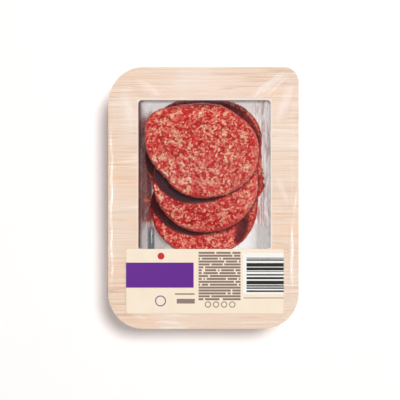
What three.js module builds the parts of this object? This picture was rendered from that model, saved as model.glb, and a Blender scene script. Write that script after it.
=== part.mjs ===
// A sealed pack of minced-meat patties: a clear thermoformed tray, four overlapping patties,
// a lid of printed ply and clear film, and a paper label.
// Units are millimetres. X runs across the pack, Y along it towards the lid's upper edge, and Z up.
// The origin is the middle of the tray's foot.

import * as THREE from 'three';

// Driving dimensions of the pack
const packHalfWidth = 80;
const packHalfLength = 110;
const packCornerRadius = 30;
const peelCornerRadius = 12.6;
const trayHeight = 58;
const clearance = 0.3;

// Driving dimensions of the tray
const plastic = 0.9;
const sealWidth = 7;
const skirtDrop = 2.2;
const floorHalfWidth = 44;
const floorHalfLength = 84;
const floorCornerRadius = 14;
const filletRadius = 8.2;
const draftDegrees = 14;
const ledgeHeight = 46;
const ledgeWidth = 4.4;
const ledgeRise = 0.8;
const lipHeight = 55;
const panelMargin = 12;
const panelRise = 1.2;

// Driving dimensions of the lid and the label
const sheetThickness = 0.3;
const windowLeft = -54.6;
const windowRight = 56.5;
const windowTop = 82.2;
const windowBottom = -48;
const windowCornerRadius = 2.1;
const labelLeft = -64.9;
const labelRight = 67.4;
const labelTop = -42.8;
const labelBottom = -97.2;
const labelCornerRadius = 1.5;

// Driving dimensions of the patties
const pattyThickness = 12.4;
const pattyRimRound = 4.6;
const cragDepth = 1.1;
const cragSize = 6.5;
const raggedSize = 5.2;
const raggedSeedStep = 7;

// The patties from the lowest to the topmost, leaning on each other like fallen cards.
// A bulge is an angle from +X in degrees, a distance out and a half width in degrees.
// A slope lowers the underside by depth, from start to end along an angle from +X in degrees.
const patties = [
  {
    name: 'patty_1',
    centre: [0.2, -8.3],
    halfWidth: 47.3,
    halfLength: 43.6,
    squareness: 2.1,
    bulges: [{ at: 20, by: 0.8, spread: 25 }],
    layersBelow: 0,
    slopes: [],
    seed: 11,
    colour: 0xb5443f,
  },
  {
    name: 'patty_2',
    centre: [-0.2, 41],
    halfWidth: 51.4,
    halfLength: 46.4,
    squareness: 2.35,
    bulges: [{ at: -38, by: 12, spread: 16 }, { at: 42, by: 2.2, spread: 22 }],
    layersBelow: 1,
    slopes: [{ along: 90, start: 30, end: 60, depth: 12.7 }],
    seed: 23,
    colour: 0x9c3c3a,
  },
  {
    name: 'patty_3',
    centre: [1.5, 13.9],
    halfWidth: 46.2,
    halfLength: 44.2,
    squareness: 2.05,
    bulges: [{ at: 215, by: -1.2, spread: 24 }],
    layersBelow: 2,
    slopes: [{ along: 90, start: 30, end: 66, depth: 9 }, { along: -90, start: 2, end: 38, depth: 6 }],
    seed: 37,
    colour: 0xb94a43,
  },
  {
    name: 'patty_4',
    centre: [-1.6, 40.9],
    halfWidth: 49.4,
    halfLength: 41.6,
    squareness: 2.15,
    bulges: [{ at: 212, by: -8, spread: 28 }, { at: 145, by: 6.8, spread: 18 }],
    layersBelow: 3,
    slopes: [
      { along: 90, start: 28, end: 103, depth: 15 },
      { along: -135, start: -14, end: 28, depth: -1.6 },
    ],
    seed: 53,
    colour: 0xc4544a,
  },
];

// Fineness of the faceted surfaces
const cornerSteps = 8;
const pattySegments = 56;
const pattyTopRings = 9;
const pattyBottomRings = 4;
const pattyRimSteps = 5;

const quarterTurn = Math.PI / 2;
const fullTurn = Math.PI * 2;
const radians = THREE.MathUtils.degToRad;

// A rectangle with round corners at one height, counter-clockwise from above.
// peel rounds the upper right corner on its own.
function outline({ halfX, halfY, radius, z, peel = radius, centreX = 0, centreY = 0 }) {
  const corners = [
    { side: 1, end: 1, round: peel },
    { side: -1, end: 1, round: radius },
    { side: -1, end: -1, round: radius },
    { side: 1, end: -1, round: radius },
  ];
  const points = [];
  corners.forEach(({ side, end, round }, quarter) => {
    const arcX = centreX + side * (halfX - round);
    const arcY = centreY + end * (halfY - round);
    for (let step = 0; step <= cornerSteps; step += 1) {
      const angle = (quarter + step / cornerSteps) * quarterTurn;
      points.push(new THREE.Vector3(arcX + round * Math.cos(angle), arcY + round * Math.sin(angle), z));
    }
  });
  return points;
}

// A closed body from a row of loops that run from the middle of one face, over the edge, to the
// middle of the other face. An open ring of loops closes on itself instead of on two middles.
function closedBody(loops, isRing = false) {
  const count = loops[0].length;
  const points = loops.flat();
  const triangles = [];
  const strips = isRing ? loops.length : loops.length - 1;
  for (let row = 0; row < strips; row += 1) {
    const near = row * count;
    const far = ((row + 1) % loops.length) * count;
    for (let i = 0; i < count; i += 1) {
      const next = (i + 1) % count;
      triangles.push(near + i, far + i, far + next);
      triangles.push(near + i, far + next, near + next);
    }
  }
  if (!isRing) {
    const last = (loops.length - 1) * count;
    const firstMiddle = points.length;
    points.push(middleOf(loops[0]), middleOf(loops[loops.length - 1]));
    for (let i = 0; i < count; i += 1) {
      const next = (i + 1) % count;
      triangles.push(firstMiddle, i, next);
      triangles.push(firstMiddle + 1, last + next, last + i);
    }
  }
  const geometry = new THREE.BufferGeometry().setFromPoints(points);
  geometry.setIndex(triangles);
  geometry.computeVertexNormals();
  return geometry;
}

function middleOf(loop) {
  const sum = new THREE.Vector3();
  loop.forEach((point) => sum.add(point));
  return sum.divideScalar(loop.length);
}

// The tray's inner profile from the floor's edge to the mouth. Each station has the distance out
// from the floor's edge, the height, and the slope of the outward normal below the level.
function trayProfile() {
  const reach = packHalfWidth - sealWidth - floorHalfWidth;
  const draft = radians(draftDegrees);
  const stations = [];
  for (const share of [0, 0.33, 0.67, 1]) {
    const turn = share * (quarterTurn - draft);
    const out = filletRadius * Math.sin(turn);
    const z = plastic + filletRadius * (1 - Math.cos(turn));
    stations.push({ out, z, slope: quarterTurn - turn });
  }
  const foot = stations[stations.length - 1];
  const bend = (quarterTurn + draft) / 2;
  const wallTop = foot.out + (ledgeHeight - foot.z) * Math.tan(draft);
  const ledgeOut = wallTop + ledgeWidth;
  const lipOut = ledgeOut + (lipHeight - ledgeHeight) * Math.tan(draft);
  stations.push({ out: wallTop, z: ledgeHeight, slope: bend });
  stations.push({ out: ledgeOut, z: ledgeHeight + ledgeRise, slope: bend });
  stations.push({ out: lipOut, z: lipHeight, slope: draft });
  stations.push({ out: reach, z: trayHeight, slope: bend });
  return stations.map((station) => ({ ...station, share: station.out / reach }));
}

// One loop of the tray's wall. offset moves it out of the inner face, along the normal.
function wallLoop({ share, z, slope }, offset) {
  const mouthHalfX = packHalfWidth - sealWidth;
  const mouthHalfY = packHalfLength - sealWidth;
  const outward = offset * Math.cos(slope);
  return outline({
    halfX: THREE.MathUtils.lerp(floorHalfWidth, mouthHalfX, share) + outward,
    halfY: THREE.MathUtils.lerp(floorHalfLength, mouthHalfY, share) + outward,
    radius: THREE.MathUtils.lerp(floorCornerRadius, packCornerRadius - sealWidth, share) + outward,
    z: z - offset * Math.sin(slope),
  });
}

// The floor's raised panel, seen from above or below: its step and its edge.
function panelLoops(base) {
  const step = (inset, z) => outline({
    halfX: floorHalfWidth - panelMargin - inset,
    halfY: floorHalfLength - panelMargin - inset,
    radius: floorCornerRadius - inset,
    z,
  });
  return [step(panelRise, base + panelRise), step(0, base)];
}

function flangeLoop(inset, z) {
  return outline({
    halfX: packHalfWidth - inset,
    halfY: packHalfLength - inset,
    radius: packCornerRadius - inset,
    peel: peelCornerRadius - inset,
    z,
  });
}

function trayBody() {
  const profile = trayProfile();
  const inner = profile.map((station) => wallLoop(station, 0));
  const outer = profile.map((station) => wallLoop(station, plastic));
  return closedBody([
    ...panelLoops(plastic),
    ...inner,
    flangeLoop(0, trayHeight),
    flangeLoop(0, trayHeight - skirtDrop),
    flangeLoop(plastic, trayHeight - skirtDrop),
    flangeLoop(plastic, trayHeight - plastic),
    ...outer.reverse(),
    ...panelLoops(0).reverse(),
  ]);
}

// The clear film, whole over the mouth
function filmBody(z) {
  return closedBody([flangeLoop(0, z + sheetThickness), flangeLoop(0, z)]);
}

// The printed ply, with the window left out
function printBody(z) {
  const windowLoop = (height) => outline({
    halfX: (windowRight - windowLeft) / 2,
    halfY: (windowTop - windowBottom) / 2,
    centreX: (windowRight + windowLeft) / 2,
    centreY: (windowTop + windowBottom) / 2,
    radius: windowCornerRadius,
    z: height,
  });
  const top = z + sheetThickness;
  return closedBody([windowLoop(top), flangeLoop(0, top), flangeLoop(0, z), windowLoop(z)], true);
}

function labelBody(z) {
  const face = (height) => outline({
    halfX: (labelRight - labelLeft) / 2,
    halfY: (labelTop - labelBottom) / 2,
    centreX: (labelRight + labelLeft) / 2,
    centreY: (labelTop + labelBottom) / 2,
    radius: labelCornerRadius,
    z: height,
  });
  return closedBody([face(z + sheetThickness), face(z)]);
}

// Large primes that scramble a lattice point into a repeatable random number from 0 to 1
const columnPrime = 374761393;
const rowPrime = 668265263;
const seedPrime = 982451653;
const mixingPrime = 1274126177;
const wordSize = 2 ** 32;

function latticeValue(column, row, seed) {
  const start = Math.imul(column, columnPrime) + Math.imul(row, rowPrime) + Math.imul(seed, seedPrime);
  const mixed = Math.imul(start ^ (start >>> 13), mixingPrime);
  return ((mixed ^ (mixed >>> 16)) >>> 0) / wordSize;
}

// How deep the mince is pitted at a point, from 0 to 1
function crag(x, y, seed) {
  const column = Math.floor(x / cragSize);
  const row = Math.floor(y / cragSize);
  const across = THREE.MathUtils.smoothstep(x / cragSize - column, 0, 1);
  const along = THREE.MathUtils.smoothstep(y / cragSize - row, 0, 1);
  const near = THREE.MathUtils.lerp(
    latticeValue(column, row, seed), latticeValue(column + 1, row, seed), across);
  const far = THREE.MathUtils.lerp(
    latticeValue(column, row + 1, seed), latticeValue(column + 1, row + 1, seed), across);
  return THREE.MathUtils.lerp(near, far, along);
}

// How far a patty reaches from its centre in one direction: a squarish oval with a few bulges
function pattyReach(shape, angle) {
  const { halfWidth, halfLength, squareness, bulges } = shape;
  const across = Math.abs(Math.cos(angle) / halfWidth) ** squareness;
  const along = Math.abs(Math.sin(angle) / halfLength) ** squareness;
  let reach = (across + along) ** (-1 / squareness);
  for (const { at, by, spread } of bulges) {
    const away = Math.atan2(Math.sin(angle - radians(at)), Math.cos(angle - radians(at)));
    reach += by * Math.exp(-((away / radians(spread)) ** 2));
  }
  return reach;
}

// The height of a patty's underside at a point, draped over the patties below it
function pattyUnderside({ layersBelow, slopes }, x, y) {
  let height = plastic + panelRise + clearance + layersBelow * (pattyThickness + clearance);
  for (const { along, start, end, depth } of slopes) {
    const distance = x * Math.cos(radians(along)) + y * Math.sin(radians(along));
    height -= depth * THREE.MathUtils.smoothstep(distance, start, end);
  }
  return height;
}

// A soft disc with a round rim and a pitted upper face
function pattyBody(shape) {
  const { centre, seed } = shape;
  const place = (angle, reach, height, pit) => {
    const x = centre[0] + reach * Math.cos(angle);
    const y = centre[1] + reach * Math.sin(angle);
    const z = pattyUnderside(shape, x, y) + height - pit * cragDepth * crag(x, y, seed);
    return new THREE.Vector3(x, y, z);
  };
  const loop = (share, inset, height, pit) => {
    const points = [];
    for (let i = 0; i < pattySegments; i += 1) {
      const angle = (i / pattySegments) * fullTurn;
      const ragged = cragDepth * crag(i * raggedSize, height, seed + raggedSeedStep);
      const edge = pattyReach(shape, angle) - pattyRimRound - ragged;
      points.push(place(angle, share * edge + inset, height, pit));
    }
    return points;
  };
  const loops = [];
  for (let ring = 1; ring <= pattyTopRings; ring += 1) {
    loops.push(loop(ring / pattyTopRings, 0, pattyThickness, 1));
  }
  for (let step = 1; step < pattyRimSteps; step += 1) {
    const turn = quarterTurn - (step / pattyRimSteps) * Math.PI;
    const height = (pattyThickness / 2) * (1 + Math.sin(turn));
    loops.push(loop(1, pattyRimRound * Math.cos(turn), height, 0));
  }
  for (let ring = pattyBottomRings; ring >= 1; ring -= 1) {
    loops.push(loop(ring / pattyBottomRings, 0, 0, 0));
  }
  return closedBody(loops);
}

const clearPlastic = { color: 0xdfe6ea, roughness: 0.12, metalness: 0, transparent: true, opacity: 0.35 };
const clearFilm = { color: 0xf4f6f7, roughness: 0.08, metalness: 0, transparent: true, opacity: 0.2 };
const printedPly = { color: 0xf0d5bf, roughness: 0.35, metalness: 0 };
const labelPaper = { color: 0xfae6cd, roughness: 0.5, metalness: 0 };

function piece(name, geometry, look) {
  const mesh = new THREE.Mesh(geometry, new THREE.MeshStandardMaterial(look));
  mesh.name = name;
  return mesh;
}

const printHeight = trayHeight + clearance;
const filmHeight = printHeight + sheetThickness + clearance;
const labelHeight = filmHeight + sheetThickness + clearance;

const group = new THREE.Group();
group.add(piece('tray', trayBody(), clearPlastic));
for (const shape of patties) {
  group.add(piece(shape.name, pattyBody(shape), { color: shape.colour, roughness: 0.4, metalness: 0 }));
}
group.add(piece('lid_print', printBody(printHeight), printedPly));
group.add(piece('lid_film', filmBody(filmHeight), clearFilm));
group.add(piece('label', labelBody(labelHeight), labelPaper));

export default group;
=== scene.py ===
import math
from functools import cached_property

import bpy
import numpy as np
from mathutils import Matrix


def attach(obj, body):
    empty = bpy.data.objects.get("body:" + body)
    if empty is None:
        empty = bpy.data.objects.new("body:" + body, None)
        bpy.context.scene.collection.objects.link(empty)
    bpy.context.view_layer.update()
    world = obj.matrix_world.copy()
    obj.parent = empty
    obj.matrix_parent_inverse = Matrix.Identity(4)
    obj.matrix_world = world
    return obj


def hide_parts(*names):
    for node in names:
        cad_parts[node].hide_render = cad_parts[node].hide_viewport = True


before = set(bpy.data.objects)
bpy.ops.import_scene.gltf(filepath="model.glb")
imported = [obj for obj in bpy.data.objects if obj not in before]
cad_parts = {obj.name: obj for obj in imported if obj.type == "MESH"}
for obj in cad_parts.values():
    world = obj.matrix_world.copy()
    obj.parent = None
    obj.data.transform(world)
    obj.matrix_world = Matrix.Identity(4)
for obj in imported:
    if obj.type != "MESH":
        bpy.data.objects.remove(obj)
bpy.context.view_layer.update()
scene = bpy.context.scene
mm = 0.001
white = (1, 1, 1, 1)
black = (0, 0, 0, 1)


# Node tools

def ink(red, green, blue):  # a colour as read on a screen, made linear
    def straight(part):
        part /= 255
        return part / 12.92 if part <= 0.04045 else ((part + 0.055) / 1.055) ** 2.4
    return straight(red), straight(green), straight(blue), 1.0


def ahead(operation):  # an operator with the socket first
    return lambda tone, other: tone.reckon(operation, tone, other)


def behind(operation):  # the same operator with the socket last
    return lambda tone, other: tone.reckon(operation, other, tone)


class Tone:  # a node's output that can stand in a sum
    def __init__(self, finish, socket):
        self.finish = finish
        self.socket = socket

    def reckon(self, operation, *terms, clamp=False):
        settings = {"operation": operation, "use_clamp": clamp}
        return self.finish.make("ShaderNodeMath", settings, dict(enumerate(terms)))

    __add__, __radd__ = ahead("ADD"), behind("ADD")
    __sub__, __rsub__ = ahead("SUBTRACT"), behind("SUBTRACT")
    __mul__, __rmul__ = ahead("MULTIPLY"), behind("MULTIPLY")
    __truediv__, __rtruediv__ = ahead("DIVIDE"), behind("DIVIDE")
    __pow__, __rpow__ = ahead("POWER"), behind("POWER")
    __lt__, __gt__ = ahead("LESS_THAN"), ahead("GREATER_THAN")
    either, lesser = ahead("MAXIMUM"), ahead("MINIMUM")

    def __abs__(self):
        return self.reckon("ABSOLUTE", self)

    def floor(self):
        return self.reckon("FLOOR", self)

    def fraction(self):
        return self.reckon("FRACT", self)

    def clamped(self):
        return self.reckon("ADD", self, 0.0, clamp=True)

    def fade(self, start, end):  # 0 at start, 1 at end
        return self.reckon("MULTIPLY", self - start, 1 / (end - start), clamp=True)

    def span(self, places):  # 0 at the first place and 1 at the second, in mm
        return self.fade(places[0] * mm, places[1] * mm)


class Finish:  # the nodes of one material, or of the room
    def __init__(self, owner):
        owner.use_nodes = True
        self.owner = owner
        self.nodes = owner.node_tree.nodes
        self.links = owner.node_tree.links
        self.nodes.clear()

    def make(self, kind, settings=None, sockets=None, out=0):
        node = self.nodes.new(kind)
        for name, value in (settings or {}).items():
            if name == "stops":
                self.setStops(node.color_ramp.elements, value)
            else:
                setattr(node, name, value)
        for name, value in (sockets or {}).items():
            if isinstance(value, Tone):
                self.links.new(value.socket, node.inputs[name])
            else:
                node.inputs[name].default_value = value
        return Tone(self, node.outputs[out] if node.outputs else None)

    def setStops(self, elements, stops):
        while len(elements) < len(stops):
            elements.new(0.5)
        for element, (position, colour) in zip(elements, stops):
            element.position = position
            element.color = colour

    def parts(self, kind, whole):  # the outputs of a node that splits a vector or a colour
        node = self.make(kind, None, {0: whole}).socket.node
        return tuple(Tone(self, output) for output in node.outputs)

    @cached_property
    def spot(self):  # where a point lies on the piece
        return self.make("ShaderNodeTexCoord", out="Object")

    @cached_property
    def axes(self):
        return self.parts("ShaderNodeSeparateXYZ", self.spot)

    def attribute(self, name, out):
        return self.make("ShaderNodeAttribute", {"attribute_name": name}, out=out)

    def noise(self, repeats, detail=3.0, rough=0.5, warp=0.0, shift=(0, 0, 0)):  # repeats a metre
        sockets = {"Vector": self.spot, "Location": shift, "Scale": repeats}
        place = self.make("ShaderNodeMapping", None, sockets)
        return self.make("ShaderNodeTexNoise", None, {
            "Vector": place, "Scale": 1.0, "Detail": detail, "Roughness": rough, "Distortion": warp})

    def past(self, box, inset=0):  # how far a point lies past a box's sides, each way
        x, y, _ = self.axes
        left, right, low, high = box
        across = abs(x - (left + right) / 2 * mm) - ((right - left) / 2 - inset) * mm
        along = abs(y - (low + high) / 2 * mm) - ((high - low) / 2 - inset) * mm
        return across, along

    def ramp(self, value, stops):
        return self.make("ShaderNodeValToRGB", {"stops": stops}, {0: value})

    def blend(self, share, first, second):
        settings = {"data_type": "RGBA", "blend_type": "MIX"}
        return self.make("ShaderNodeMix", settings, {0: share, 6: first, 7: second}, out=2)

    def bump(self, height, strength, depth):
        sockets = {"Height": height, "Strength": strength, "Distance": depth}
        return self.make("ShaderNodeBump", None, sockets)

    def plastic(self, **sockets):
        named = {name.replace("_", " "): value for name, value in sockets.items()}
        return self.make("ShaderNodeBsdfPrincipled", None, named)

    def done(self, shader, output="ShaderNodeOutputMaterial"):
        self.make(output, None, {"Surface": shader})
        return self.owner


def newFinish(name):
    return Finish(bpy.data.materials.new(name))


# Shaping helpers

def only(piece):  # picks one object and nothing else
    if bpy.context.object and bpy.context.object.mode != "OBJECT":
        bpy.ops.object.mode_set(mode="OBJECT")
    bpy.ops.object.select_all(action="DESELECT")
    piece.select_set(True)
    bpy.context.view_layer.objects.active = piece


def apply(piece, kind, **settings):
    only(piece)
    modifier = piece.modifiers.new(kind.lower(), kind)
    for name, value in settings.items():
        setattr(modifier, name, value)
    bpy.ops.object.modifier_apply(modifier=modifier.name)


def settle(piece):  # puts the place into the mesh
    only(piece)
    bpy.ops.object.transform_apply(location=True, rotation=True, scale=True)


def dress(piece, node, material):
    piece.name = piece.data.name = node + "_piece"
    piece.data.materials.clear()
    piece.data.materials.append(material)
    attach(piece, "root")
    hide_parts(node)


def smoothstep(value, start, end):
    share = np.clip((value - start) / (end - start), 0, 1)
    return share * share * (3 - 2 * share)


def pointsOf(mesh):  # a mesh's points in mm, one a row
    points = np.empty(len(mesh.vertices) * 3)
    mesh.vertices.foreach_get("co", points)
    return points.reshape(-1, 3) / mm


def roundLoop(half, radius, peel=None, centre=(0, 0), corner=14, side=60):
    peel = radius if peel is None else peel  # the corner at the upper right may have a radius of its own
    ends = []
    for turn, (sx, sy, r) in enumerate(((1, 1, peel), (-1, 1, radius), (-1, -1, radius), (1, -1, radius))):
        angles = (turn + np.linspace(0, 1, corner + 1)) * math.pi / 2
        ends.append(np.column_stack((
            sx * (half[0] - r) + r * np.cos(angles), sy * (half[1] - r) + r * np.sin(angles))))
    points = []
    for turn in range(4):
        points.append(ends[turn])
        start, end = ends[turn][-1], ends[(turn + 1) % 4][0]
        steps = np.linspace(0, 1, side + 2)[1:-1, None]
        points.append(start + (end - start) * steps)
    return np.vstack(points) + np.array(centre)


def skin(name, loops, cap=False):  # a sheet of quads between loops of points, in mm
    count = len(loops[0])
    points = np.vstack(loops) * mm
    faces = []
    for row in range(len(loops) - 1):
        a, b = row * count, (row + 1) * count
        faces += [(a + i, a + (i + 1) % count, b + (i + 1) % count, b + i) for i in range(count)]
    if cap:
        last = (len(loops) - 1) * count
        faces.append(tuple(range(last, last + count)))
    mesh = bpy.data.meshes.new(name)
    mesh.from_pydata(points.tolist(), [], faces)
    mesh.validate()
    piece = bpy.data.objects.new(name, mesh)
    scene.collection.objects.link(piece)
    return piece


def smoothByAngle(piece):
    only(piece)
    bpy.ops.object.shade_smooth_by_angle(angle=math.radians(40))


# Tray, in mm

tray = {
    "pack": (80, 110), "packRadius": 30, "peelRadius": 12.6, "height": 58, "seal": 7, "sealBend": 1.0,
    "floor": (44, 84), "floorRadius": 14, "plastic": 0.9, "fillet": 8.2, "filletSteps": 6, "wallSteps": 8,
    "draft": math.radians(14), "ledge": 46, "ledgeWidth": 4.4, "ledgeRise": 0.8, "lip": 55, "skirt": 2.2,
    "panel": {"margin": 12, "rise": 1.2, "rings": (20, 6), "bend": 1, "leastRadius": 2},
    "bendCut": 0.8, "mostCut": 0.25,
    "ribs": {"pitch": 9.0, "depth": 0.8, "low": (12, 17), "high": (37, 41), "clear": (12, 14), "soft": 6},
    # juice on the left wall, with painted reflection and shade of the meat in it
    "juiceAndReflection": {"out": (44.5, 46.5), "front": (-29, -19), "back": (80, 68), "low": (36, 24)},
    # painted shade at the lower left corner, red-brown from the meat, and a pale patch at the lower right
    "cornerPatch": {"out": (24, 34), "back": (-20, -26), "low": (34, 22), "front": (-58, -50)},
    # a dark bar of painted reflection in the fillet at the lower left
    "bar": {
        "inner": (43.2, 44.4), "outer": (50, 48.6), "back": (-25, -29), "low": (13, 8), "front": (-58, -44)},
    # a streaky pink painted reflection of the meat on the right wall
    "pinkReflection": {"out": (43, 48), "front": (-26, -20), "streak": (0.46, 0.66)},
    "wander": 16,  # how far the edges of the juice and painted reflection wander
    "footBand": (6, 2), "rimBand": (52, 56),
    "shares": {"clear": 0.05, "foot": 0.08, "rim": 0.05, "edge": 0.45, "juiceAndReflection": 0.66, "bar": 0.34,
               "pinkReflection": 0.4, "cornerPatch": 0.26},
    "clearColour": ink(236, 240, 240), "pinkReflectionColour": ink(230, 150, 140), "barColour": ink(96, 104, 112),
    "cornerShadeColour": ink(128, 98, 88), "cornerPaleColour": ink(228, 233, 233),
    "juiceAndReflectionColours": [
        (0.32, ink(122, 98, 88)), (0.42, ink(148, 46, 42)),
        (0.6, ink(158, 48, 42)), (0.68, ink(246, 112, 70)),
    ],
}


def trayFinish():  # clear plastic with meat juice, and painted reflections and shade of the meat low on its walls
    juiceAndReflection, cornerPatch, bar, pinkReflection = (tray[name] for name in ("juiceAndReflection", "cornerPatch", "bar", "pinkReflection"))
    shares = tray["shares"]
    f = newFinish("clearTray")
    x, y, z = f.axes
    left = 0 - x
    streaks = f.noise((420, 42, 14), 3, 0.6, 0.4)
    blots = f.noise((150, 130, 90), 3, 0.55, 0.8, (2, 0, 1))
    wander = (blots - 0.5) * tray["wander"] * mm
    low = (z + wander).span(juiceAndReflection["low"])
    ends = (y + wander).span(juiceAndReflection["front"]) * (y + wander).span(juiceAndReflection["back"])
    # juice on the left wall, with painted reflection and shade of the meat in it
    juiceAndReflectionMask = left.span(juiceAndReflection["out"]) * ends * low
    # painted shade at the lower left corner, red-brown from the meat, and a pale patch at the lower right
    cornerPatchMask = abs(x).span(cornerPatch["out"]) * y.span(cornerPatch["back"]) * z.span(cornerPatch["low"]) * y.span(cornerPatch["front"])
    # a dark bar of painted reflection in the fillet at the lower left
    reflectionBar = left.span(bar["inner"]) * left.span(bar["outer"]) * y.span(bar["back"]) * z.span(bar["low"])
    reflectionBar = reflectionBar * (y + wander * 0.5).span(bar["front"])
    # a streaky pink painted reflection of the meat on the right wall
    pinkReflectionMask = x.span(pinkReflection["out"]) * low * streaks.fade(*pinkReflection["streak"]) * y.span(pinkReflection["front"])
    colour = f.blend(pinkReflectionMask, tray["clearColour"], tray["pinkReflectionColour"])
    colour = f.blend(cornerPatchMask * 0.8, colour, f.blend(x > 0, tray["cornerShadeColour"], tray["cornerPaleColour"]))
    colour = f.blend(reflectionBar, colour, tray["barColour"])
    colour = f.blend(juiceAndReflectionMask, colour, f.ramp(blots, tray["juiceAndReflectionColours"]))
    facing = f.make("ShaderNodeLayerWeight", None, {"Blend": 0.5}, out="Facing")
    share = shares["clear"] + z.span(tray["footBand"]) * shares["foot"]
    share = share + z.span(tray["rimBand"]) * shares["rim"] + facing ** 8 * shares["edge"]
    share = share + juiceAndReflectionMask * (0.75 + blots.fade(0.35, 0.5) * 0.25) * shares["juiceAndReflection"]
    share = share + reflectionBar * shares["bar"] + pinkReflectionMask * shares["pinkReflection"] + cornerPatchMask * shares["cornerPatch"]
    solid = f.plastic(Base_Color=colour, Roughness=0.1, Specular_IOR_Level=0.7)
    clear = f.make("ShaderNodeBsdfTransparent")
    return f.done(f.make("ShaderNodeMixShader", None, {0: share.clamped(), 1: clear, 2: solid}))


def traySection():  # from the floor's middle to the skirt: half width, half length, two radii and height
    t = tray
    seam = [side - t["seal"] for side in t["pack"]]  # where the wall meets the flange
    reach = seam[0] - t["floor"][0]
    seamRadius = t["packRadius"] - t["seal"]

    def station(out, z):
        share = out / reach
        wide = t["floor"][0] + (seam[0] - t["floor"][0]) * share
        long = t["floor"][1] + (seam[1] - t["floor"][1]) * share
        radius = t["floorRadius"] + (seamRadius - t["floorRadius"]) * share
        return [wide, long, radius, radius, z]

    def flange(inset, z):
        sizes = (*t["pack"], t["packRadius"], t["peelRadius"])
        return [size - inset for size in sizes] + [z]

    def foot(inset, z):
        margin = t["panel"]["margin"] + inset
        radius = max(t["floorRadius"] - inset, t["panel"]["leastRadius"])
        return [t["floor"][0] - margin, t["floor"][1] - margin, radius, radius, z]

    base, rise, bend = t["plastic"], t["panel"]["rise"], t["panel"]["bend"]
    rows = [foot(inset, base + rise) for inset in (*t["panel"]["rings"], rise + bend, rise)]
    rows += [foot(0, base), foot(-bend, base)]
    for step in range(t["filletSteps"] + 1):
        turn = step / t["filletSteps"] * (math.pi / 2 - t["draft"])
        rows.append(station(t["fillet"] * math.sin(turn), base + t["fillet"] * (1 - math.cos(turn))))
    slope = math.tan(t["draft"])
    footOut = t["fillet"] * math.cos(t["draft"])
    footZ = base + t["fillet"] * (1 - math.sin(t["draft"]))
    for step in range(1, t["wallSteps"] + 1):
        z = footZ + (t["ledge"] - footZ) * step / t["wallSteps"]
        rows.append(station(footOut + (z - footZ) * slope, z))
    ledgeOut = footOut + (t["ledge"] - footZ) * slope + t["ledgeWidth"]
    lipOut = ledgeOut + (t["lip"] - t["ledge"]) * slope
    ledgeTop = t["ledge"] + t["ledgeRise"]
    rows.append(station(ledgeOut, ledgeTop))
    rows.append(station((ledgeOut + lipOut) / 2, (ledgeTop + t["lip"]) / 2))
    rows.append(station(lipOut, t["lip"]))
    rows.append(station(reach, t["height"]))
    rows.append(flange(t["sealBend"], t["height"]))
    rows.append(flange(0, t["height"]))
    rows.append(flange(0, t["height"] - t["skirt"]))
    return np.array(rows)


def softened(rows):  # cuts each bend of a section once, which rounds it
    soft = [rows[0]]
    for near, far in zip(rows[:-1], rows[1:]):
        length = np.abs(far - near).max()
        cut = min(tray["mostCut"], tray["bendCut"] / max(length, 0.01))
        soft += [near + (far - near) * cut, far - (far - near) * cut]
    return soft + [rows[-1]]


def buildTray():
    ribs = tray["ribs"]
    loops = []
    for wide, long, radius, peel, z in softened(traySection()):
        x, y = roundLoop((wide, long), radius, peel).T
        tall = ribs["depth"] * smoothstep(z, *ribs["low"]) * (1 - smoothstep(z, *ribs["high"]))

        def ribbed(run, half, clear, onWall):  # how far a wall steps in along its run
            here = tall * smoothstep(half - clear - np.abs(run), 0, ribs["soft"]) * onWall
            return here * (0.5 + 0.5 * np.cos(run / ribs["pitch"] * 2 * math.pi)) ** 2

        inX = ribbed(y, tray["floor"][1], ribs["clear"][1], np.abs(x) > wide - 0.01)
        inY = ribbed(x, tray["floor"][0], ribs["clear"][0], np.abs(y) > long - 0.01)
        loops.append(np.column_stack((x - np.sign(x) * inX, y - np.sign(y) * inY, np.full(len(x), z))))
    piece = skin("tray_piece", loops[::-1], cap=True)
    apply(piece, "SOLIDIFY", thickness=tray["plastic"] * mm, offset=-1, use_even_offset=True)
    smoothByAngle(piece)
    dress(piece, "tray", trayFinish())
    print("tray", len(piece.data.polygons), "faces")


buildTray()


# Patties, in mm and degrees

mince = {
    "voxel": 0.52, "pit": 0.85, "level": 0.92, "swell": 0.4,
    "mapPitch": 0.25, "mapHalf": 58,  # the flat map of strands, laid on the faces and unrolled on the rim
    "underShift": (31, 17), "rimRadius": 46, "rimStretch": 1.1, "rimShift": 23,
    "strands": 4300, "long": (1.3, 4.4), "wide": (0.75, 1.5), "high": (0.35, 1.0), "stray": 0.75,
    "bend": 0.45, "zone": 0.08, "fatUpTo": 0.14, "mixedUpTo": 0.5,
    "fat": (0.74, 0.98), "mixed": (0.42, 0.7), "red": (0.05, 0.4),
    "fatSpecks": 900, "speckLong": (0.5, 1.4), "speckWide": (0.35, 0.7), "speckTone": (0.8, 1.0),
    "fatLumps": 30, "lumpStrands": 3,
    "lumpLong": (1.4, 2.8), "lumpWide": (0.8, 1.4), "lumpTone": (0.8, 0.96),
    "ends": 84, "endLong": (1.7, 3.4), "endWide": (0.9, 1.4), "endInset": 1.9, "endRise": 2.6,
    "rimSteps": 72, "flatFrom": (0.4, 0.75), "nearRim": (2.4, 4.0),
    "shadeEdge": (-1.5, 1.7), "shadeEnd": (11, 17), "patchEdge": (0.45, 1.25),
    "tones": [
        (0.0, ink(156, 0, 10)), (0.2, ink(202, 14, 24)), (0.36, ink(212, 56, 52)), (0.5, ink(224, 102, 88)),
        (0.68, ink(234, 137, 114)), (0.84, ink(238, 176, 146)), (1.0, ink(242, 222, 188)),
    ],
    "pitShadeColour": ink(160, 6, 14), "speckColour": ink(126, 42, 30), "paintedShadeColour": ink(112, 18, 24),
    "shadeWine": ink(68, 28, 38), "shadeSlate": ink(44, 40, 50),
}
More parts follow.
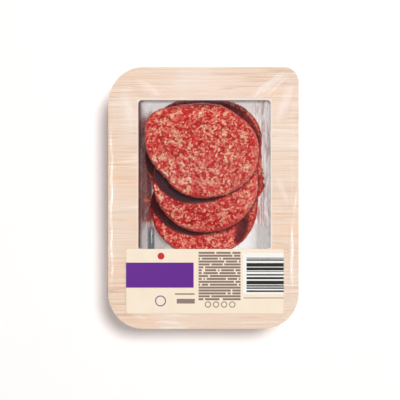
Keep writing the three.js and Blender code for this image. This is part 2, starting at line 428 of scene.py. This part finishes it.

# covers: upper patty, shift of the painted shade beside it, strength
# patches of painted shade: middle, half size, turn, strength
# push, ragged and painted light on rims: direction, spread and how much
patties = {
    "patty_1": {
        "seed": 101, "lean": 0.06,
        "covers": [("patty_3", (-8.0, -3.2), 0.88), ("patty_3", (1.6, -2.0), 0.65)],
        "patches": [((34.4, -27.2), (16, 5.6), 73, 0.85)], "push": [(20, 26, 2.2)],
        "litRims": [(-20, 40, 0.5)]},
    "patty_2": {
        "seed": 202, "covers": [("patty_4", (3.2, 4.0), 0.62), ("patty_4", (-5.0, -5.5), 1.0),
                                ("patty_3", (1.8, -0.6), 0.65)],
        "push": [(110, 34, 2.2), (45, 25, 0.8), (18, 16, 1.5)], "ragged": [(-30, 26, 0.7)],
        "litRims": [(10, 60, 0.35)]},
    "patty_3": {
        "seed": 303, "lean": 0.05,
        "covers": [("patty_4", (-8.4, -4.6), 1.0), ("patty_4", (1.5, -1.2), 0.6)],
        "litRims": [(-20, 42, 0.7)]},
    "patty_4": {"seed": 404, "push": [(40, 20, -2.6)], "litRims": [(-25, 45, 0.75)]},
}


def minceFinish():
    f = newFinish("mince")
    kind, lift, covered = f.parts("ShaderNodeSeparateColor", f.attribute("mince", "Color"))
    fine = f.noise((1150, 640, 900), 3, 0.65)
    coarse = f.noise((150, 150, 150), 2, 0.5, shift=(3, 1, 2))
    speck = f.noise((620, 620, 620), 2, 0.5, shift=(7, 3, 5))
    shade = kind * 0.86 + (fine - 0.5) + (coarse - 0.5) * 0.5 + (speck - 0.5) * 0.55 + 0.06
    meat = f.ramp(shade, mince["tones"])
    # painted shade in the pits between the strands
    meat = f.blend((1 - lift.fade(0.0, 0.55)) * 0.7, meat, mince["pitShadeColour"])
    meat = f.blend(speck.fade(0.43, 0.32) * 0.62, meat, mince["speckColour"])
    # painted shade beside and under the patty above, darkest near its edge, with the purple of meat kept
    # from the air
    meat = f.blend(covered.fade(0.0, 0.55) * 0.85, meat, mince["paintedShadeColour"])
    core = f.blend(covered.fade(0.8, 1.0), mince["shadeWine"], mince["shadeSlate"])
    meat = f.blend((covered + (speck - 0.5) * 1.1).fade(0.38, 1.04) * 0.9, meat, core)
    return f.done(f.plastic(
        Base_Color=meat, Roughness=0.42 + kind * 0.14 + covered * 0.25, Specular_IOR_Level=0.22,
        Coat_Weight=(1 - covered) * 0.4, Coat_Roughness=0.2, Normal=f.bump(fine, 0.45, 0.35 * mm)))


def minceMap(seed):  # how high the strands stand and how fat they are, seen flat
    rng = np.random.default_rng(seed)
    pitch, half = mince["mapPitch"], mince["mapHalf"]
    size = int(2 * half / pitch)
    lift = np.zeros((size, size))
    kind = np.full((size, size), 0.2)

    def stamp(x, y, angle, long, wide, bend, top, tone, lay):
        reach = int(long * 1.2 / pitch) + 2
        col, row = int((x + half) / pitch), int((y + half) / pitch)
        c0, c1 = max(col - reach, 0), min(col + reach, size)
        r0, r1 = max(row - reach, 0), min(row + reach, size)
        if c0 >= c1 or r0 >= r1:
            return
        gx = (np.arange(c0, c1) + 0.5) * pitch - half - x
        gy = ((np.arange(r0, r1) + 0.5) * pitch - half - y)[:, None]
        u = (gx * math.cos(angle) + gy * math.sin(angle)) / long
        v = (gy * math.cos(angle) - gx * math.sin(angle)) / wide - bend * (u * u - 0.4)
        body = 1 - v * v - u ** 4
        height = top * np.sqrt(np.clip(body, 0, 1))
        if lay:  # fat lies over the strands, and a strand shows where it is the highest
            here = body > 0
            lift[r0:r1, c0:c1] += here * 0.08 * np.sqrt(np.clip(body, 0, 1))
        else:
            here = height > lift[r0:r1, c0:c1]
            lift[r0:r1, c0:c1][here] = height[here]
        kind[r0:r1, c0:c1][here] = tone

    def toneFor(pick):
        if pick < mince["fatUpTo"]:
            return rng.uniform(*mince["fat"])
        return rng.uniform(*(mince["mixed"] if pick < mince["mixedUpTo"] else mince["red"]))

    for _ in range(mince["strands"]):
        x, y = rng.uniform(-half, half, 2)
        flow = 1.9 + 1.1 * math.sin(x * 0.045 + seed) + 0.9 * math.cos(y * 0.05 + seed * 1.7)
        angle = flow + rng.normal(0, mince["stray"])
        zone = math.sin(x * 0.31 + seed) * math.cos(y * 0.27 - seed * 2.3)
        zone += math.sin((x + y) * 0.17 + seed * 0.7)
        tone = toneFor(rng.random() + mince["zone"] * zone)
        stamp(x, y, angle, rng.uniform(*mince["long"]), rng.uniform(*mince["wide"]),
              rng.normal(0, mince["bend"]), rng.uniform(*mince["high"]), tone, False)
    for _ in range(mince["fatSpecks"]):
        x, y = rng.uniform(-half, half, 2)
        stamp(x, y, rng.uniform(0, 3.1), rng.uniform(*mince["speckLong"]), rng.uniform(*mince["speckWide"]),
              0, 1, rng.uniform(*mince["speckTone"]), True)
    for _ in range(mince["fatLumps"]):
        x, y = rng.uniform(-half, half, 2)
        for _ in range(mince["lumpStrands"]):
            stamp(x + rng.normal(0, 1.0), y + rng.normal(0, 1.0), rng.uniform(0, 3.1),
                  rng.uniform(*mince["lumpLong"]), rng.uniform(*mince["lumpWide"]), rng.normal(0, 0.4), 1,
                  rng.uniform(*mince["lumpTone"]), True)
    return np.clip(lift, 0, 1.1), kind


def sample(grid, x, y):  # reads a map between its cells, and round again past its edges
    pitch, half = mince["mapPitch"], mince["mapHalf"]
    size = len(grid)
    col = (x + half) / pitch - 0.5
    row = (y + half) / pitch - 0.5
    c, r = np.floor(col).astype(int), np.floor(row).astype(int)
    fc, fr = col - c, row - r
    c0, c1, r0, r1 = c % size, (c + 1) % size, r % size, (r + 1) % size
    near = grid[r0, c0] * (1 - fc) + grid[r0, c1] * fc
    far = grid[r1, c0] * (1 - fc) + grid[r1, c1] * fc
    return near * (1 - fr) + far * fr


def rimOf(node):  # centre, reach and height of a patty's rim by angle, read from its solid
    steps = mince["rimSteps"]
    mesh = bpy.data.objects[node].data
    points = pointsOf(mesh)
    centre = (points[:, :2].max(0) + points[:, :2].min(0)) / 2
    ends = np.empty(len(mesh.edges) * 2, dtype=int)
    mesh.edges.foreach_get("vertices", ends)
    first, last = points[ends[::2]], points[ends[1::2]]
    points = np.vstack([first + (last - first) * share for share in np.linspace(0, 1, 9)])
    away = points[:, :2] - centre
    bins = np.round(np.arctan2(away[:, 1], away[:, 0]) / (2 * math.pi) * steps).astype(int) % steps
    far = np.hypot(away[:, 0], away[:, 1])
    reach, height = np.empty(steps), np.empty(steps)
    for i in range(steps):
        here = bins == i
        reach[i] = far[here].max()
        height[i] = points[here & (far > reach[i] - 1.2), 2].mean()
    return centre, reach, height


rims = {name: rimOf(name) for name in patties}


def rimAt(table, angle):  # a value of the rim in any direction, in radians
    return np.interp(angle / (2 * math.pi) * len(table), np.arange(len(table)), table, period=len(table))


def around(turn, at, spread):  # 1 in the direction at, in degrees, and fading to both sides
    away = np.degrees(np.arctan2(np.sin(turn - math.radians(at)), np.cos(turn - math.radians(at))))
    return np.exp(-(away / spread) ** 2)


def addStrandEnds(piece, name):  # short strands that stand out of the rim
    spec = patties[name]
    rng = np.random.default_rng(spec["seed"])
    centre, reach, height = rims[name]
    bpy.ops.object.select_all(action="DESELECT")
    bpy.ops.mesh.primitive_ico_sphere_add(subdivisions=2, radius=1)
    strand = bpy.context.object
    copies = []
    for _ in range(mince["ends"]):
        angle = rng.uniform(-math.pi, math.pi)
        extra = sum(by * around(angle, at, spread) for at, spread, by in spec.get("ragged", []))
        out = rimAt(reach, angle) - mince["endInset"] + rng.uniform(-0.5, 0.3)
        out += extra * rng.uniform(0.2, 1.2)
        z = rimAt(height, angle) + rng.uniform(-mince["endRise"], mince["endRise"])
        copy = strand.copy()
        copy.data = strand.data.copy()
        x, y = centre[0] + out * math.cos(angle), centre[1] + out * math.sin(angle)
        copy.location = (x * mm, y * mm, z * mm)
        lean = rng.normal(0, 0.35), rng.normal(0, 0.35)
        copy.rotation_euler = (*lean, angle + math.pi / 2 + rng.normal(0, 0.6))
        long, wide = rng.uniform(*mince["endLong"]), rng.uniform(*mince["endWide"])
        copy.scale = (long * mm, wide * mm, wide * mm)
        scene.collection.objects.link(copy)
        copies.append(copy)
    bpy.data.objects.remove(strand)
    only(piece)
    for copy in copies:
        copy.select_set(True)
    bpy.ops.object.join()


def paintedShadeOn(name, x, y, lift):  # 1 where the patty above keeps the light out: painted shade, with the purple of meat kept from the air
    spec = patties[name]
    covered = np.zeros(len(x))
    for upper, shift, strength in spec.get("covers", []):
        middle, far, _ = rims[upper]
        dx, dy = x - middle[0] - shift[0], y - middle[1] - shift[1]
        inside = rimAt(far, np.arctan2(dy, dx)) - np.hypot(dx, dy)
        inside += (sample(lift, x * 0.7, y * 0.7) - 0.6) * 0.5
        band = smoothstep(inside, *mince["shadeEdge"])
        band *= 1 - 0.75 * smoothstep(inside, *mince["shadeEnd"])
        covered = np.maximum(covered, strength * band)
    for middle, (long, wide), tilt, strength in spec.get("patches", []):
        dx, dy, tilt = x - middle[0], y - middle[1], math.radians(tilt)
        u = (dx * math.cos(tilt) + dy * math.sin(tilt)) / long
        v = (dy * math.cos(tilt) - dx * math.sin(tilt)) / wide
        covered = np.maximum(covered, strength * (1 - smoothstep(np.hypot(u, v), *mince["patchEdge"])))
    return covered


def buildPatty(name, material):
    spec = patties[name]
    piece = bpy.data.objects.new(name + "_piece", bpy.data.objects[name].data.copy())
    scene.collection.objects.link(piece)
    only(piece)
    bpy.ops.object.mode_set(mode="EDIT")
    bpy.ops.mesh.select_all(action="SELECT")
    bpy.ops.mesh.remove_doubles(threshold=0.01 * mm)
    bpy.ops.object.mode_set(mode="OBJECT")
    addStrandEnds(piece, name)
    apply(piece, "REMESH", mode="VOXEL", voxel_size=mince["voxel"] * mm, use_smooth_shade=True)
    apply(piece, "SMOOTH", factor=0.5, iterations=3)

    mesh = piece.data
    points = pointsOf(mesh)
    normals = np.empty(len(points) * 3)
    mesh.vertices.foreach_get("normal", normals)
    normals = normals.reshape(-1, 3)
    lift, kind = minceMap(spec["seed"])
    centre, reach, _ = rims[name]
    x, y, z = points.T  # these follow each move of the points below
    turn = np.arctan2(y - centre[1], x - centre[0])
    flat = smoothstep(np.abs(normals[:, 2]), *mince["flatFrom"])
    under = normals[:, 2] < 0
    mapX = np.where(under, y + mince["underShift"][0], x)
    mapY = np.where(under, x + mince["underShift"][1], y)
    rimX, rimY = turn * mince["rimRadius"], z * mince["rimStretch"] + mince["rimShift"]
    rise = sample(lift, mapX, mapY) * flat + sample(lift, rimX, rimY) * (1 - flat)
    strands = sample(kind, rimX, rimY)
    fat = np.where(flat > 0.5, sample(kind, mapX, mapY), strands * 0.5)
    out = mince["pit"] * (np.clip(rise, 0, 1) - mince["level"]) + mince["swell"] * (1 - flat)
    points += normals * out[:, None]

    share = np.hypot(x - centre[0], y - centre[1]) / rimAt(reach, turn)
    nearRim = 1 - smoothstep((1 - share) * rimAt(reach, turn), *mince["nearRim"])
    # painted light: paler strands on the rim's lit side
    for at, spread, by in spec.get("litRims", []):
        fat += (0.42 + strands * 0.5 - fat) * by * around(turn, at, spread) * nearRim
    fat -= spec.get("lean", 0)
    for at, spread, by in spec.get("push", []):
        out = by * around(turn, at, spread) * np.clip(share, 0, 1) ** 5
        points[:, 0] += out * np.cos(turn)
        points[:, 1] += out * np.sin(turn)
    covered = paintedShadeOn(name, x, y, lift) * np.where(under, 0.2, 0.55 + 0.45 * flat)
    mesh.vertices.foreach_set("co", (points * mm).ravel())
    values = np.column_stack((fat, np.clip(rise, 0, 1), covered, np.ones(len(points))))
    store = mesh.color_attributes.new(name="mince", type="FLOAT_COLOR", domain="POINT")
    store.data.foreach_set("color", values.ravel())
    mesh.update()
    apply(piece, "SMOOTH", factor=0.3, iterations=1)
    only(piece)
    bpy.ops.object.shade_smooth()
    dress(piece, name, material)
    print(name, len(mesh.polygons), "faces")


minceMaterial = minceFinish()
for pattyName in patties:
    buildPatty(pattyName, minceMaterial)


# Lid, in mm

lid = {
    "window": (-54.6, 56.5, -48, 82.2), "windowRadius": 3.0, "sheet": 0.3, "print": 58.3, "film": 58.9,
    "rings": 34, "innerRings": 22, "corner": 16, "side": 90,
    "ridge": 0.3, "ridgeLeast": 0.3, "ridgeInset": 5.2, "ridgeWidth": 1.15, "ridgeSkew": 0.015,
    "sag": 0.2, "sagInset": (7, 16),
    "clip": (-0.28, 0.36),  # keeps the plies apart and the lid inside its box
    "wander": [(0.5, 0.21, 1), (0.35, 0.083, 0), (0.2, 0.55, 2)],  # height, waves and start
    "strongFrom": (66, 70), "strongRidges": [  # side, start and end along the lid, and how much taller
        (-1, (-92, -80), (56, 68), 1.2), (1, (-90, -82), (-8, 2), 0.42),
    ],
    "folds": [  # from, to, height, half width and painted sheen of each tension fold
        ((37, 81), (74, 110), 0.08, 2.8, 0.25), ((49, 82), (74, 105), 0.06, 1.5, 0.19),
        ((58, 58), (78, 102), 0.12, 4.2, 0.23), ((-60, 102), (-33, 82), 0.12, 4.2, 0.17),
        ((-70, 98), (-56, 54), 0.12, 4.0, 0.15), ((-46, -101.6), (-16, -106.5), 0.1, 1.6, 0.2),
        ((-60, -97), (-46, -103), 0.1, 1.5, 0.22), ((26, -103), (58, -105), 0.1, 1.3, 0.2),
        ((73.2, -18), (73.2, -86), 0.24, 1.4, 0.18), ((60, 24), (73, -12), 0.14, 3.2, 0.16),
        ((78.4, 11), (75, -17), 0.18, 1.2, 0.2), ((-56, 95), (70, 95), 0, 8, 0.12),
        ((-66, 92), (-63, 36), 0, 7, 0.1),
    ],
    "woods": [
        (0.34, ink(248, 204, 168)), (0.44, ink(243, 210, 182)), (0.5, ink(239, 213, 190)),
        (0.57, ink(241, 220, 201)), (0.66, ink(247, 230, 216)),
    ],
    "veins": [  # repeats a metre, width, where they show, shift, strength and colour of lines in the grain
        ((7, 330, 1), 0.05, (0.34, 0.6), (1.7, 4.2, 0), 0.46, ink(214, 172, 140)),
        ((4, 150, 1), 0.022, (0.36, 0.6), (2.2, 7.7, 0), 0.6, ink(206, 162, 130)),
        ((9, 260, 1), 0.04, (0.46, 0.64), (6.1, 3.3, 0), 0.6, ink(255, 244, 232)),
    ],
    "edgeLine": (1.5, 0.9), "edgeColour": ink(243, 230, 224),
    "filmColour": ink(254, 252, 253), "filmInside": ink(60, 61, 62), "shadeLine": ink(108, 44, 36),
    # the glow of the painted sheen on the folds
    "paintedSheen": (0.15, 0.132, 0.118, 1), "filmAlpha": 0.045,
    "shadeDepth": (0.1, 3.0), "shadeLeft": (9, 2), "shadeTop": (6, 2),  # the painted shadow line inside the window's edge
}


def woodFinish():  # the grain runs along x
    f = newFinish("woodPrint")
    patch = f.noise((14, 16, 1), 3, 0.55, 0.3, (8.3, 2.9, 0))
    broad = f.noise((5, 60, 1), 3, 0.55, 0.0)
    hair = f.noise((16, 620, 1), 2, 0.6, 0.0, (5.1, 0.4, 0))
    wood = f.ramp(patch * 0.42 + broad * 0.26 + hair * 0.32, lid["woods"])
    for repeats, width, gate, shift, strength, colour in lid["veins"]:
        near = abs(f.noise(repeats, 2, 0.45, 0.0, shift) - 0.5).fade(width, width * 0.3)
        shows = f.noise((repeats[0] * 2.6, repeats[1] * 0.3, 1), 2, 0.5, 0.0, shift).fade(*gate)
        wood = f.blend(near * shows * strength, wood, colour)
    across, along = f.past(lid["window"])
    wood = f.blend(across.either(along).span(lid["edgeLine"]) * 0.75, wood, lid["edgeColour"])
    return f.done(f.plastic(Base_Color=wood, Roughness=0.24, Specular_IOR_Level=0.5))


def filmFinish():  # clear, with painted sheen that glows a little on its folds, and a painted shadow line at the window's edge
    f = newFinish("clearFilm")
    x, y, _ = f.axes
    left, right, low, high = lid["window"]
    radius = lid["windowRadius"]
    across, along = f.past(lid["window"], radius)
    cornerX, cornerY = across.either(0), along.either(0)
    corner = (cornerX * cornerX + cornerY * cornerY) ** 0.5
    depth = radius * mm - (corner + across.either(along).lesser(0))  # how far inside the window's edge
    inside = depth > 0
    sheenHere = f.attribute("crease", "Fac") * (1 - inside)
    onLeft = (x - left * mm).span(lid["shadeLeft"])
    onTop = (high * mm - y).span(lid["shadeTop"])
    strong = onLeft.either(onTop * 0.6).either(0.28)
    # painted shadow inside the window's left and top edges
    line = (1 - depth.span(lid["shadeDepth"])) * strong * inside * (y > (low + 2 * radius) * mm)
    clear = f.blend(inside, lid["filmColour"], lid["filmInside"])
    # painted sheen on the folds: whiter, and glowing a little
    return f.done(f.plastic(
        Base_Color=f.blend(line, clear, lid["shadeLine"]), Roughness=0.07, Specular_IOR_Level=1.0,
        Alpha=lid["filmAlpha"] + line * 0.8 + sheenHere, Emission_Strength=1.0,
        Emission_Color=f.blend(sheenHere * 6, black, lid["paintedSheen"])))


def foldsAt(x, y):  # each fold's height, painted sheen and how near its crest a point lies
    for (x1, y1), (x2, y2), height, width, paintedSheen in lid["folds"]:
        length = math.hypot(x2 - x1, y2 - y1)
        ux, uy = (x2 - x1) / length, (y2 - y1) / length
        share = ((x - x1) * ux + (y - y1) * uy) / length
        off = (x - x1) * uy - (y - y1) * ux
        fade = smoothstep(share, -0.05, 0.4) * (1 - smoothstep(share, 0.6, 1.05))
        yield height, paintedSheen, fade * np.exp(-(off / width) ** 2)


def lidRelief(x, y):  # a ridge near the lid's edge, a slight sag inside it, and the folds
    half, radius = tray["pack"], tray["packRadius"]
    qx, qy = np.abs(x) - (half[0] - radius), np.abs(y) - (half[1] - radius)
    inset = radius - np.hypot(np.maximum(qx, 0), np.maximum(qy, 0)) - np.minimum(np.maximum(qx, qy), 0)
    way = np.where(np.abs(x) / half[0] > np.abs(y) / half[1], y, x)
    wander = sum(height * np.sin(way * waves + start) for height, waves, start in lid["wander"])
    tall = lid["ridgeLeast"]
    for side, starts, ends, extra in lid["strongRidges"]:
        onSide = smoothstep(side * x, *lid["strongFrom"])
        onSide = onSide * smoothstep(y, *starts) * (1 - smoothstep(y, *ends))
        tall = tall + onSide * extra
    tall = lid["ridge"] * tall * (0.75 + 0.25 * np.sin(way * 0.11 + 0.6))
    off = inset - lid["ridgeInset"] - x * lid["ridgeSkew"] - wander
    rise = tall * np.exp(-(off / lid["ridgeWidth"]) ** 2)
    rise -= lid["sag"] * smoothstep(inset, *lid["sagInset"])
    for height, _, profile in foldsAt(x, y):
        rise += height * profile
    rise += 0.05 * np.sin(x * 0.13 + y * 0.05) * np.sin(y * 0.09 - x * 0.03 + 1)
    return np.clip(rise, *lid["clip"])


def buildLid():
    left, right, low, high = lid["window"]
    middle = ((left + right) / 2, (low + high) / 2)
    steps = {"corner": lid["corner"], "side": lid["side"]}
    outer = roundLoop(tray["pack"], tray["packRadius"], tray["peelRadius"], **steps)
    inner = roundLoop(((right - left) / 2, (high - low) / 2), lid["windowRadius"], centre=middle, **steps)

    def ply(name, top, shares, cap):  # share 0 is the lid's edge, 1 the window's edge and 2 its middle
        loops = []
        for share in shares:
            flat = outer + (inner - outer) * min(share, 1)
            if share > 1:
                flat = inner + (np.array(middle) - inner) * (share - 1)
            loops.append(np.column_stack((flat, top + lidRelief(flat[:, 0], flat[:, 1]))))
        piece = skin(name, loops, cap=cap)
        x, y, _ = pointsOf(piece.data).T
        crease = piece.data.attributes.new("crease", "FLOAT", "POINT")
        crease.data.foreach_set("value", sum(paintedSheen * profile for _, paintedSheen, profile in foldsAt(x, y)))
        apply(piece, "SOLIDIFY", thickness=lid["sheet"] * mm, offset=-1)
        smoothByAngle(piece)
        return piece

    ringShares = np.linspace(0, 1, lid["rings"])
    printPly = ply("lid_print_piece", lid["print"] + lid["sheet"], ringShares, False)
    dress(printPly, "lid_print", woodFinish())
    allShares = np.concatenate((ringShares, 1 + np.linspace(0, 0.96, lid["innerRings"])[1:]))
    film = ply("lid_film_piece", lid["film"] + lid["sheet"], allShares, True)
    dress(film, "lid_film", filmFinish())
    print("lid", len(printPly.data.polygons), "and", len(film.data.polygons), "faces")


buildLid()


# Label, in mm: a box is left, right, low, high, and a ring is its middle, radius and line

label = {
    "edges": (-64.9, 67.4, -97.2, -42.8), "low": 59.5, "thick": 0.3, "corner": 1.5, "edgeBevel": 0.06,
    "band": (-64.9, -8.2, -75.3, -54.2), "dot": (-35.6, -48.8, 2.9), "ring": (-36.0, -86.4, 4.6, 0.9),
    "bars": [(-24.0, -7.4, -81.2, -80.0), (-22.4, -7.2, -88.6, -84.6)],
    "rings": [(across, -89.4, 2.6, 0.7) for across in (3.8, 10.6, 17.4, 24.2)],
    "rows": (-4.1, 31.2, -86.4, -45.2), "rowPitch": 2.43, "rowShare": 0.7,
    "dashStep": 1.35, "dashGaps": 0.1,
    "stripeField": (33.2, 67.4, -80.6, -46.2), "stripes": (36.2, 67.4, -78.9, -50.1), "stripeStep": 0.62,
    "stripeGaps": 0.3, "stripeSeed": 23.0, "rule": (33.8, 67.4, -84.2, -83.6),
    "papers": [(0.3, ink(246, 227, 203)), (0.7, ink(249, 233, 211))],
    "bandColour": ink(98, 28, 142), "dotColour": ink(197, 39, 46), "ringColour": ink(118, 71, 145),
    "barColour": ink(145, 124, 114), "smallRingColour": ink(116, 95, 85), "rowColour": ink(137, 116, 108),
    "fieldColour": ink(245, 244, 240), "stripeColour": ink(30, 28, 28), "ruleColour": ink(116, 93, 81),
}


def labelFinish():  # cream paper with plain fields, rings and bars of chance lengths
    f = newFinish("labelPaper")
    x, y, _ = f.axes

    def box(edges):
        across, along = f.past(edges)
        return across.either(along) < 0

    def disc(middleX, middleY, radius):
        dx, dy = x - middleX * mm, y - middleY * mm
        return (dx * dx + dy * dy) ** 0.5 < radius * mm

    def ring(middleX, middleY, radius, line):
        return disc(middleX, middleY, radius) * (1 - disc(middleX, middleY, radius - line))

    def chance(across, along):
        cell = f.make("ShaderNodeCombineXYZ", None, {0: across, 1: along})
        return f.make("ShaderNodeTexWhiteNoise", {"noise_dimensions": "2D"}, {"Vector": cell})

    row = (y - label["rows"][3] * mm) / (-label["rowPitch"] * mm)
    dash = chance((x / (label["dashStep"] * mm)).floor(), row.floor()) > label["dashGaps"]
    stripe = chance((y / (label["stripeStep"] * mm)).floor(), label["stripeSeed"]) > label["stripeGaps"]
    layers = [(box(label["band"]), "bandColour"), (disc(*label["dot"]), "dotColour"),
              (ring(*label["ring"]), "ringColour")]
    layers += [(box(bar), "barColour") for bar in label["bars"]]
    layers += [(ring(*spec), "smallRingColour") for spec in label["rings"]]
    layers += [(box(label["rows"]) * (row.fraction() < label["rowShare"]) * dash, "rowColour"),
               (box(label["stripeField"]), "fieldColour"), (box(label["stripes"]) * stripe, "stripeColour"),
               (box(label["rule"]), "ruleColour")]
    paper = f.ramp(f.noise((60, 60, 1), 3, 0.6), label["papers"])
    for shape, colour in layers:
        paper = f.blend(shape, paper, label[colour])
    return f.done(f.plastic(Base_Color=paper, Roughness=0.42, Specular_IOR_Level=0.35))


def buildLabel():
    left, right, low, high = label["edges"]
    bpy.ops.object.select_all(action="DESELECT")
    middle = ((left + right) / 2 * mm, (low + high) / 2 * mm, label["low"] * mm)
    bpy.ops.mesh.primitive_plane_add(size=1, location=middle)
    piece = bpy.context.object
    piece.scale = ((right - left) * mm, (high - low) * mm, 1)
    settle(piece)
    only(piece)
    bpy.ops.object.mode_set(mode="EDIT")
    bpy.ops.mesh.select_all(action="SELECT")
    bpy.ops.mesh.bevel(offset=label["corner"] * mm, segments=6, affect="VERTICES")
    bpy.ops.mesh.select_all(action="SELECT")
    bpy.ops.mesh.extrude_region_move(TRANSFORM_OT_translate={"value": (0, 0, label["thick"] * mm)})
    bpy.ops.mesh.select_all(action="SELECT")
    bpy.ops.mesh.normals_make_consistent(inside=False)
    bpy.ops.object.mode_set(mode="OBJECT")
    apply(piece, "BEVEL", width=label["edgeBevel"] * mm, segments=2, limit_method="ANGLE")
    dress(piece, "label", labelFinish())
    print("label", len(piece.data.polygons), "faces")


buildLabel()


# Floor, light and camera: the floor, the lamps and the eye in m, the panel, sensor and view in mm

studio = {
    "floor": 4.0, "floorDrop": 0.05 * mm, "floorGlow": (0.1, 0.085, 0.08, 1),
    "floorColours": [(0.0, (0.96, 0.92, 0.91, 1)), (1.0, (0.98, 0.94, 0.93, 1))],
    # the panel glows under the tray: painted light that fills the print's shade
    "panel": (-50, 66, -62, 87), "panelSoft": (9, 0), "panelGlow": (0.56, 0.585, 0.585, 1),
    "room": 0.19, "backdrop": 0.9,  # the room's light, and how bright its wall looks
    "lamps": {  # power, turn, rise, distance, size, and whether it is seen in the gloss alone
        "key": (94.0, 48, 74.5, 3.6, 0.84, False),
        "above": (15.0, 0, 90, 3.6, 1.3, False),
        "sheenRight": (2.6, 0, 65, 1.2, 0.3, True),
        "sheenLeft": (3.2, 180, 65, 1.2, 0.3, True),
        "sheenTop": (0.42, 92, 72, 1.2, 0.34, True),
        "sheenCorner": (0.2, 12, 75, 1.2, 0.22, True),
    },
    "eye": (-2.86 * mm, -1.68 * mm, 959 * mm), "sensor": 36, "viewWidth": 336, "viewAway": 900,
}


def floorFinish():  # pale, with a glowing panel below the tray: painted light that fills the shade the print casts there
    f = newFinish("floor")
    across, along = f.past(studio["panel"])
    panel = across.either(along).span(studio["panelSoft"])
    return f.done(f.plastic(
        Base_Color=f.ramp(f.noise((30, 30, 30), 2), studio["floorColours"]), Roughness=0.9,
        Specular_IOR_Level=0.1, Emission_Strength=1.0,
        Emission_Color=f.blend(panel, studio["floorGlow"], studio["panelGlow"])))


def buildFloor():
    bpy.ops.object.select_all(action="DESELECT")
    bpy.ops.mesh.primitive_plane_add(size=studio["floor"], location=(0, 0, -studio["floorDrop"]))
    floor = bpy.context.object
    floor.name = "floor"
    floor.data.materials.append(floorFinish())
    settle(floor)


def buildRoom():  # a dim room whose wall looks pale behind the pack
    room = Finish(bpy.data.worlds.new("softRoom"))
    seen = room.make("ShaderNodeLightPath", out="Is Camera Ray")
    power = seen * (studio["backdrop"] - studio["room"]) + studio["room"]
    sky = room.make("ShaderNodeBackground", None, {"Color": white, "Strength": power})
    scene.world = room.done(sky, "ShaderNodeOutputWorld")


def hangLamps():
    for name, (power, turn, rise, away, size, forGloss) in studio["lamps"].items():
        light = bpy.data.lights.new(name, "AREA")
        light.shape = "DISK"
        light.size = size
        light.energy = power
        lamp = bpy.data.objects.new(name, light)
        turn, rise = math.radians(turn), math.radians(rise)
        flat = away * math.cos(rise)
        lamp.location = (flat * math.cos(turn), flat * math.sin(turn), away * math.sin(rise))
        lamp.rotation_euler = (0, math.pi / 2 - rise, turn)
        lamp.visible_glossy = forGloss
        lamp.visible_diffuse = not forGloss
        scene.collection.objects.link(lamp)


def placeCamera():  # straight above the lid
    camera = bpy.data.cameras.new("camera")
    camera.sensor_width = studio["sensor"]
    camera.lens = studio["sensor"] * studio["viewAway"] / studio["viewWidth"]
    eye = bpy.data.objects.new("camera", camera)
    eye.location = studio["eye"]
    scene.collection.objects.link(eye)
    scene.camera = eye
    scene.view_settings.view_transform = "Standard"


buildFloor()
buildRoom()
hangLamps()
placeCamera()
print("studio", len(studio["lamps"]), "lamps")
